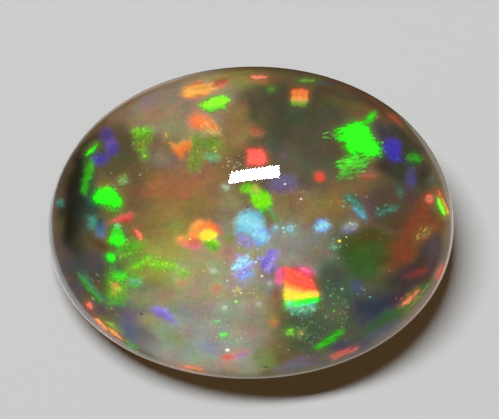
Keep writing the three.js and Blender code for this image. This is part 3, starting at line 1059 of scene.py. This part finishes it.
    patch(oval((224.5, 308), (3.2, 3.2)), "mint pearl", depth=0.4, ragged=0.9, edge=1.8, shine=0.7,
        halo=0.3, hollow=0.8),
    patch(oval((270, 284), (3, 3)), "mint pearl", depth=0.4, ragged=1.2, edge=1.8, shine=0.55, halo=0.2,
        hollow=0.8),
    patch(oval((259, 305), (3, 3)), "mint pearl", depth=0.4, ragged=1.2, edge=1.8, shine=0.5, halo=0.2,
        hollow=0.8),
    patch(oval((238, 290), (3.2, 3)), "lemon", depth=0.4, ragged=1.0, edge=1.8, shine=0.6, halo=0.2,
        hollow=0.8),
    patch(oval((290, 333), (5, 4), 20), "leaf lime", depth=0.5, ragged=2.4, grain=0.05, streak=3, edge=2.6,
        contrast=1.2, shine=0.75, halo=0.3),
    patch(oval((301, 334), (3.4, 3.2)), "gold lemon", ragged=1.2, edge=2, shine=0.5, halo=0.2, hollow=0.8),
    soft(oval((181, 283), (3.4, 2.4), -20), "salmon", ragged=1.8, shine=0.85, halo=0.5),
    soft(oval((217, 288), (5, 3.4)), "salmon", ragged=2, edge=4, shine=0.8, halo=0.45),
    soft(oval((274, 321), (3.4, 4)), "orange gold", ragged=2, shine=0.8, halo=0.5),
]


def spanOf(outline, turn):  # the middle of an outline, and its half sizes in pixels along and across its turn
    spin = math.radians(turn)
    along = [x * math.cos(spin) - y * math.sin(spin) for x, y in outline]
    up = [-x * math.sin(spin) - y * math.cos(spin) for x, y in outline]
    u, v = (min(along) + max(along)) / 2, (min(up) + max(up)) / 2
    at = (u * math.cos(spin) - v * math.sin(spin), -u * math.sin(spin) - v * math.cos(spin))
    return at, [(max(side) - min(side)) / 2 for side in (along, up)]


def sparks(at, spread, count, size, hue, depth=0.4, stretch=1.3, turn=None, ring=0.0):
    return dict(at=at, spread=spread, count=count, size=size, hues=hue.split(), depth=depth * mm,
                stretch=stretch, turn=turn, ring=ring)


# Grains of light in loose groups: pixel, half spread in mm, count, size in mm as seen, hues, depth in mm, how
# long they are for their width, their turn in degrees, and how dark their middle is
sparkGroups = [
    sparks((336, 135), (0.32, 0.14), 18, 0.045, "green grass", 0.34, 4.0, 4),
    sparks((381, 150), (0.12, 0.36), 12, 0.06, "mint lime grass", 0.34),
    sparks((351, 168), (0.6, 0.4), 34, 0.05, "green grass fern lime", 0.36, 4.0, 12),
    sparks((371, 117), (0.25, 0.2), 8, 0.05, "grass leaf", 0.3, 2.0, 40),
    sparks((411, 158), (0.35, 0.3), 12, 0.055, "teal mint fern"),
    sparks((143, 140), (0.42, 0.5), 9, 0.06, "lime grass leaf lemon"),
    sparks((198, 152), (0.2, 0.7), 8, 0.06, "leaf olive gold lemon"),
    sparks((213, 150), (0.5, 0.5), 12, 0.055, "leaf mint teal lemon"),
    sparks((236, 165), (0.45, 0.28), 26, 0.045, "pearl lemon gold mint", 0.3),
    sparks((211, 126), (0.3, 0.3), 12, 0.05, "amber orange salmon", 0.38, 4.0, 130),
    sparks((92, 172), (0.2, 0.6), 14, 0.055, "leaf grass lime"),
    sparks((122, 181), (0.35, 0.4), 20, 0.055, "mint leaf teal grass"),
    sparks((113, 210), (0.4, 0.14), 12, 0.05, "grass fern", 0.38, 2.4, 80),
    sparks((132, 252), (0.8, 0.6), 28, 0.055, "grass fern leaf mint"),
    sparks((118, 276), (0.5, 0.5), 10, 0.055, "grass leaf lime"),
    sparks((112, 294), (0.35, 0.6), 12, 0.05, "fern leaf grass mint"),
    sparks((162, 262), (1.2, 0.5), 24, 0.055, "leaf lime lemon olive"),
    sparks((92, 288), (0.3, 0.5), 14, 0.045, "teal mint leaf", 0.3, 3.0, -52),
    sparks((113, 333), (0.5, 0.5), 16, 0.035, "amber salmon leaf", 0.2, 4.0, -42),
    sparks((303, 311), (0.5, 0.24), 22, 0.055, "teal cyan mint sky"),
    sparks((304, 330), (0.75, 0.7), 80, 0.06, "fern teal leaf mint", 0.4, 1.2, None, 0.9),
    sparks((306, 322), (0.9, 0.9), 60, 0.04, "grass teal mint fern"),
    sparks((344, 312), (0.25, 0.9), 40, 0.05, "grass mint teal", 0.4, 1.2, None, 0.6),
    sparks((328, 300), (0.5, 0.9), 26, 0.04, "olive mint lemon"),
    sparks((364, 300), (0.7, 0.6), 18, 0.045, "teal mint sea"),
    sparks((409, 298), (0.5, 0.12), 14, 0.04, "salmon amber orange", 0.2, 5.0, 44),
    sparks((283, 228), (0.5, 0.12), 10, 0.06, "pearl sky ice"),
    sparks((243, 267), (0.5, 0.5), 24, 0.06, "lilac ice pearl sky"),
    sparks((268, 261), (0.4, 0.5), 16, 0.055, "lilac sky violet"),
    sparks((248, 236), (0.6, 0.4), 20, 0.05, "lilac ice cyan"),
    sparks((352, 224), (0.3, 0.24), 10, 0.05, "pearl lilac teal"),
    sparks((388, 210), (0.4, 0.2), 12, 0.05, "teal mint sea", 0.4, 2.4, 20),
    sparks((352, 203), (0.5, 0.3), 14, 0.05, "teal mint cyan", 0.4, 2.0, -30),
    sparks((332, 244), (0.5, 0.5), 18, 0.05, "teal sea mint"),
    sparks((238, 296), (0.9, 0.5), 20, 0.04, "lemon lime mint"),
    sparks((220, 328), (0.6, 0.5), 18, 0.05, "grass mint teal"),
    sparks((222, 342), (0.9, 0.5), 20, 0.04, "mint pearl teal"),
    sparks((300, 190), (0.9, 0.6), 16, 0.035, "pearl teal lilac"),
    sparks((262, 196), (1.0, 0.8), 18, 0.03, "pearl mint"),
    sparks((196, 246), (1.2, 0.6), 26, 0.04, "olive gold salmon"),
    sparks((384, 236), (1.1, 1.4), 40, 0.035, "brick gold fern"),
    sparks((160, 150), (1.6, 1.2), 40, 0.035, "gold olive salmon"),
    sparks((424, 235), (0.3, 0.25), 12, 0.045, "gold olive orange", 0.2, 3.0, 45),
]

# Single bright grains: pixel, size in mm as seen, hue
pinpoints = [
    ((339.5, 241), 0.11, "yellow"), ((346.5, 237), 0.06, "lemon"), ((234, 291), 0.08, "gold"),
    ((241, 293), 0.07, "amber"), ((236, 301.5), 0.09, "lime"), ((301, 199), 0.08, "pearl"),
    ((285, 184), 0.08, "pearl"), ((283, 228), 0.09, "ice"), ((227.5, 350), 0.13, "pearl"),
    ((370, 297), 0.09, "teal"), ((342, 289), 0.09, "mint"), ((330, 296), 0.07, "teal"),
    ((209, 240), 0.07, "lemon"), ((334, 311), 0.07, "grass"), ((262, 276), 0.08, "pearl"),
    ((256, 262), 0.08, "ice"), ((140, 175), 0.06, "grass"), ((141.5, 173.5), 0.05, "teal"),
    ((326, 316), 0.06, "teal"), ((190, 239), 0.07, "lemon"), ((302, 334), 0.05, "lemon"),
]

firePiece = dict(
    seed=7,
    cell=0.8,  # pixels from one point of a plate to the next
    thickness=0.03 * mm,
    waviness=0.05 * mm,
    waveLength=14,  # in pixels
    sway=0.12,  # how far the hues wander, as a share of the half height
    fineScale=2.7,  # of the finer part of the raggedness, and its share
    fineShare=0.7,
    speckScale=1.4,
    swayScale=0.4,
    baseColour=(0.02, 0.02, 0.02, 1),
    roughness=0.5,
    fleckScale=13.0 / mm,
    fleckDepth=0.7,
    fleckFloor=0.75,
    brightness=1.1,
)


def addPatch(bm, p, number):  # a flat net of small cells, cut to the ragged outline
    (cx, cy), half = spanOf(p["outline"], p["turn"])
    wide, tall = (side + p["ragged"] for side in half)
    spin = math.radians(p["turn"])
    along, up = Vector((math.cos(spin), -math.sin(spin))), Vector((-math.sin(spin), -math.cos(spin)))
    matrix = Matrix((
        (along.x * wide, up.x * tall, 0, cx),
        (along.y * wide, up.y * tall, 0, cy),
        (0, 0, 1, p["depth"]),
        (0, 0, 0, 1),
    ))
    columns, rows = (max(3, round(2 * side / firePiece["cell"])) for side in (wide, tall))
    net = bmesh.ops.create_grid(bm, x_segments=columns, y_segments=rows, size=1, matrix=matrix)["verts"]
    layer = bm.verts.layers.float_color["tint"]
    grain = p["grain"] * photo["perMillimetre"]
    dx, dy = numpy.array([(v.co.x - cx, v.co.y - cy) for v in net]).T
    u, w = dx * along.x + dy * along.y, dx * up.x + dy * up.y
    lumps = [Vector((a / grain / p["streak"], b / grain, number * 9.7)) for a, b in zip(u, w)]
    scale, share = firePiece["fineScale"], firePiece["fineShare"]
    rough = numpy.array([noise.noise(lump) + share * noise.noise(lump * scale) for lump in lumps])
    inner = inward(p["outline"], dx + cx, dy + cy) + p["ragged"] * rough
    shine = p["shine"] * (p["base"] + (1 - p["base"]) * smooth(inner / p["edge"]))
    shine *= 1 - p["hollow"] * middleOf(inner)
    scale, apart = firePiece["speckScale"], Vector((31, 17, 5))
    shine *= 1 + p["contrast"] * numpy.array([noise.noise(lump * scale + apart) for lump in lumps])
    sway = numpy.array([noise.noise(lump * firePiece["swayScale"]) for lump in lumps])
    tint = hueAt(p, u / half[0], w / half[1] + firePiece["sway"] * sway) * numpy.maximum(shine, 0)[:, None]
    wave = firePiece["waveLength"]
    for v, tone, a, b in zip(net, tint, u, w):
        v[layer] = (*tone, 1)
        v.co.z += firePiece["waviness"] * noise.noise(Vector((a / wave, b / wave, number * 3.1)))
    kept = dict(zip(net, inner))
    faces = {face for v in net for face in v.link_faces}
    outside = [face for face in faces if sum(kept[v] for v in face.verts) < 0]
    bmesh.ops.delete(bm, geom=outside, context="FACES")


def partCorners(bm):  # two cells that touch at a corner only are set apart
    for v in list(bm.verts):
        if len(v.link_faces) == 2 and len(v.link_edges) == 4:
            bmesh.utils.face_vert_separate(v.link_faces[0], v)


# The grains; where there are two values, each grain lies between them
grainRange = dict(
    scatter=0.5,
    brightness=(0.18, 0.6),
    depth=(0.5, 1.4),
    size=(0.6, 1.5),
    turns=8,  # degrees by which a group's turns differ
    flatness=0.6,
    pinpointDepth=0.3 * mm,
)


def addGrain(bm, place, size, hue, turn=0.0, stretch=1.3, ring=0.0):  # a lump of light at a pixel and a depth
    across = size * photo["perMillimetre"]
    deep = size * mm * grainRange["flatness"]
    spin = Matrix.Rotation(-turn, 3, "Z")
    matrix = Matrix.LocRotScale(Vector(place), spin, Vector((across * stretch, across, deep)))
    layer = bm.verts.layers.float_color["tint"]
    for v in bmesh.ops.create_icosphere(bm, subdivisions=1, radius=0.5, matrix=matrix)["verts"]:
        middle = math.hypot(v.co.x - place[0], v.co.y - place[1]) < across * 0.1
        v[layer] = (*(hue * (1 - ring if middle else 1)), 1)
        v.co = throughDome(*v.co)


def scatterGrains(bm):
    rng = random.Random(firePiece["seed"])
    g = grainRange
    for s in sparkGroups:
        for i in range(s["count"]):
            px, py = (at + rng.gauss(0, g["scatter"]) * side * photo["perMillimetre"]
                      for at, side in zip(s["at"], s["spread"]))
            hue = Vector(hues[rng.choice(s["hues"])]) * rng.uniform(*g["brightness"])
            place = (px, py, s["depth"] * rng.uniform(*g["depth"]))
            size = s["size"] * rng.uniform(*g["size"])
            if s["turn"] is None:
                turn = rng.uniform(0, math.pi)
            else:
                turn = math.radians(s["turn"] + rng.gauss(0, g["turns"]))
            addGrain(bm, place, size, hue, turn, s["stretch"], s["ring"])
    for (px, py), size, hue in pinpoints:
        addGrain(bm, (px, py, g["pinpointDepth"]), size, Vector(hues[hue]))


def makeFire():
    grains = bmesh.new()
    grains.verts.layers.float_color.new("tint")
    scatterGrains(grains)
    mesh = bpy.data.meshes.new("play_of_colour")
    grains.to_mesh(mesh)
    grains.free()
    print("grains made:", len(mesh.polygons), "faces")
    bm = bmesh.new()
    bm.verts.layers.float_color.new("tint")
    for number, p in enumerate(patches):
        if not p["painted"]:
            addPatch(bm, p, number)
    partCorners(bm)
    for v in bm.verts:
        v.co = throughDome(*v.co)
    bmesh.ops.solidify(bm, geom=bm.faces[:], thickness=firePiece["thickness"])
    bm.from_mesh(mesh)
    bmesh.ops.recalc_face_normals(bm, faces=bm.faces)
    putInOrder(bm)
    bm.to_mesh(mesh)
    bm.free()
    fire = bpy.data.objects.new("play_of_colour", mesh)
    bpy.context.scene.collection.objects.link(fire)
    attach(fire, "root")
    fire.visible_diffuse = False
    return fire


paintClouds()
print("clouds painted")
fire = makeFire()
print("fire made:", sum(len(face.vertices) - 2 for face in fire.data.polygons), "triangles")


opalGlass = dict(
    baseColour=(0.85, 0.82, 0.78, 1),
    roughness=0.25,
    coatRoughness=0.02,
    absorption=(0.6, 0.54, 0.44, 1),
    density=1200.0,  # per metre
    mottleScale=2.0 / mm,
    mottleDepth=0.3,
    grainScale=11.0 / mm,
    grainDepth=0.4,
)


def opalFinish():
    s = Surface("polished_opal")
    cloud = s.node("ShaderNodeAttribute", {"attribute_name": "cloud"})
    place = s.node("ShaderNodeTexCoord", output=3)
    mottle = s.pattern(place, opalGlass["mottleScale"], 3.0)
    grain = s.pattern(place, opalGlass["grainScale"], 2.0)
    shade = mottle * opalGlass["mottleDepth"] + grain * opalGlass["grainDepth"]
    shade = shade + (1 - (opalGlass["mottleDepth"] + opalGlass["grainDepth"]) / 2)
    shader = s.node("ShaderNodeBsdfPrincipled", None, {
        "Base Color": opalGlass["baseColour"],
        "Roughness": opalGlass["roughness"],
        "IOR": stone["refraction"],
        "Specular IOR Level": 0.0,
        "Specular Tint": (0, 0, 0, 1),
        "Coat Weight": 1.0,
        "Coat Roughness": opalGlass["coatRoughness"],
        "Coat IOR": stone["refraction"],
        "Transmission Weight": 1.0,
        "Emission Color": s.vector("SCALE", cloud, shade),
        "Emission Strength": 1.0,
    })
    absorb = s.node("ShaderNodeVolumeAbsorption", None, {
        "Color": opalGlass["absorption"],
        "Density": opalGlass["density"],
    })
    return s.finish(shader, absorb)


def fireFinish():
    s = Surface("play_of_colour")
    tint = s.node("ShaderNodeAttribute", {"attribute_name": "tint"})
    place = s.node("ShaderNodeTexCoord", output=3)
    fleck = s.pattern(place, firePiece["fleckScale"], 2.0)
    shade = fleck * firePiece["fleckDepth"] + firePiece["fleckFloor"]
    shader = s.node("ShaderNodeBsdfPrincipled", None, {
        "Base Color": firePiece["baseColour"],
        "Roughness": firePiece["roughness"],
        "Emission Color": s.vector("SCALE", tint, shade),
        "Emission Strength": firePiece["brightness"],
    })
    return s.finish(shader)


body.data.materials.append(opalFinish())
fire.data.materials.append(fireFinish())


# A plain pale floor, a strip lamp that only the polish mirrors, and soft light from the upper left. The stone
# mirrors only the part of the floor near it.
room = dict(
    floorColour=(0.8, 0.8, 0.8, 1),
    floorGap=0.01 * mm,
    mirroredFloor=(8.0 * mm, 6.35 * mm),  # half sizes of that oval of floor, and its middle
    mirroredMiddle=(-0.35 * mm, 0.4 * mm),
    skyColour=(1.0, 0.58, 0.23, 1),
    skyStrength=0.07,
    wallRadius=0.68,
    wallHeight=1.2,
    wallTone=0.5,
    stepsRound=96,
    floorRoughness=0.9,
    overlap=1.01,  # how far the floor goes past the wall
    highlight=(255.3, 174.5),  # the pixel that the strip lamp faces, before its turns
    stripAt=(0.0102, 0.1359, 0.3317),
    stripSize=(0.101, 0.050),
    stripPower=0.95,
    stripTurns=(-38.0, -24.0, 0.0),
    softFrom=(-0.31, 0.332, 1.0),
    softDistance=1.2,
    softSize=(0.75, 0.14),
    softTurn=-32.0,
    softPower=12.12,
    softColour=(0.931, 0.976, 1.0),
)


def addLamp(name, size, power, place, towards, turns):  # turns in degrees about its own X, Y and Z
    data = bpy.data.lights.new(name, "AREA")
    data.shape = "RECTANGLE"
    data.size, data.size_y = size
    data.energy = power
    lamp = bpy.data.objects.new(name, data)
    bpy.context.scene.collection.objects.link(lamp)
    lamp.location = place
    lamp.rotation_euler = (place - towards).to_track_quat("Z", "Y").to_euler()
    for axis, turn in zip("XYZ", turns):
        lamp.rotation_euler.rotate_axis(axis, math.radians(turn))
    lamp.visible_camera = False
    return lamp


def addStage(name, bm, shader):
    mesh = bpy.data.meshes.new(name)
    bm.to_mesh(mesh)
    bm.free()
    piece = bpy.data.objects.new(name, mesh)
    bpy.context.scene.collection.objects.link(piece)
    mesh.materials.append(shader)
    return piece


def makeRoom():
    paper = Surface("pale_paper")
    paper.finish(paper.node("ShaderNodeBsdfPrincipled", None, {
        "Base Color": room["floorColour"],
        "Roughness": room["floorRoughness"],
    }))
    level = Matrix.Translation((0, 0, -room["floorGap"]))
    shift = Matrix.Translation((*room["mirroredMiddle"], 0))
    near = shift @ level @ Matrix.Diagonal((*room["mirroredFloor"], 1, 1))
    bm = bmesh.new()
    bmesh.ops.create_circle(bm, cap_ends=True, segments=room["stepsRound"], radius=1, matrix=near)
    addStage("floor", bm, paper.material)
    bm = bmesh.new()
    bmesh.ops.create_circle(bm, segments=room["stepsRound"], radius=1, matrix=near)
    bmesh.ops.create_circle(
        bm, segments=room["stepsRound"], radius=room["wallRadius"] * room["overlap"], matrix=level,
    )
    bmesh.ops.bridge_loops(bm, edges=bm.edges)
    bmesh.ops.recalc_face_normals(bm, faces=bm.faces)
    farFloor = addStage("far_floor", bm, paper.material)
    farFloor.visible_glossy = False

    bm = bmesh.new()
    bmesh.ops.create_cone(
        bm, segments=room["stepsRound"], radius1=room["wallRadius"], radius2=room["wallRadius"],
        depth=room["wallHeight"],
    )
    cloth = Surface("pale_backdrop")
    wall = addStage("backdrop", bm, cloth.finish(cloth.node("ShaderNodeEmission", None, {
        "Color": (1, 1, 1, 1),
        "Strength": room["wallTone"],
    })))
    wall.visible_glossy = False
    wall.visible_diffuse = False

    world = bpy.data.worlds.new("soft_sky")
    world.use_nodes = True
    background = world.node_tree.nodes["Background"]
    background.inputs["Color"].default_value = room["skyColour"]
    background.inputs["Strength"].default_value = room["skyStrength"]
    bpy.context.scene.world = world

    strip = addLamp("strip_lamp", room["stripSize"], room["stripPower"], Vector(room["stripAt"]),
                    surfaceAt(*room["highlight"])[0], room["stripTurns"])
    strip.visible_diffuse = False
    strip.visible_transmission = False

    window = addLamp("soft_lamp", room["softSize"], room["softPower"],
                     Vector(room["softFrom"]).normalized() * room["softDistance"], Vector((0, 0, 0)),
                     (0, 0, room["softTurn"]))
    window.data.color = room["softColour"]
    window.visible_glossy = False
    window.visible_transmission = False


makeRoom()
bpy.context.scene.view_settings.view_transform = "Standard"
print("room lit")
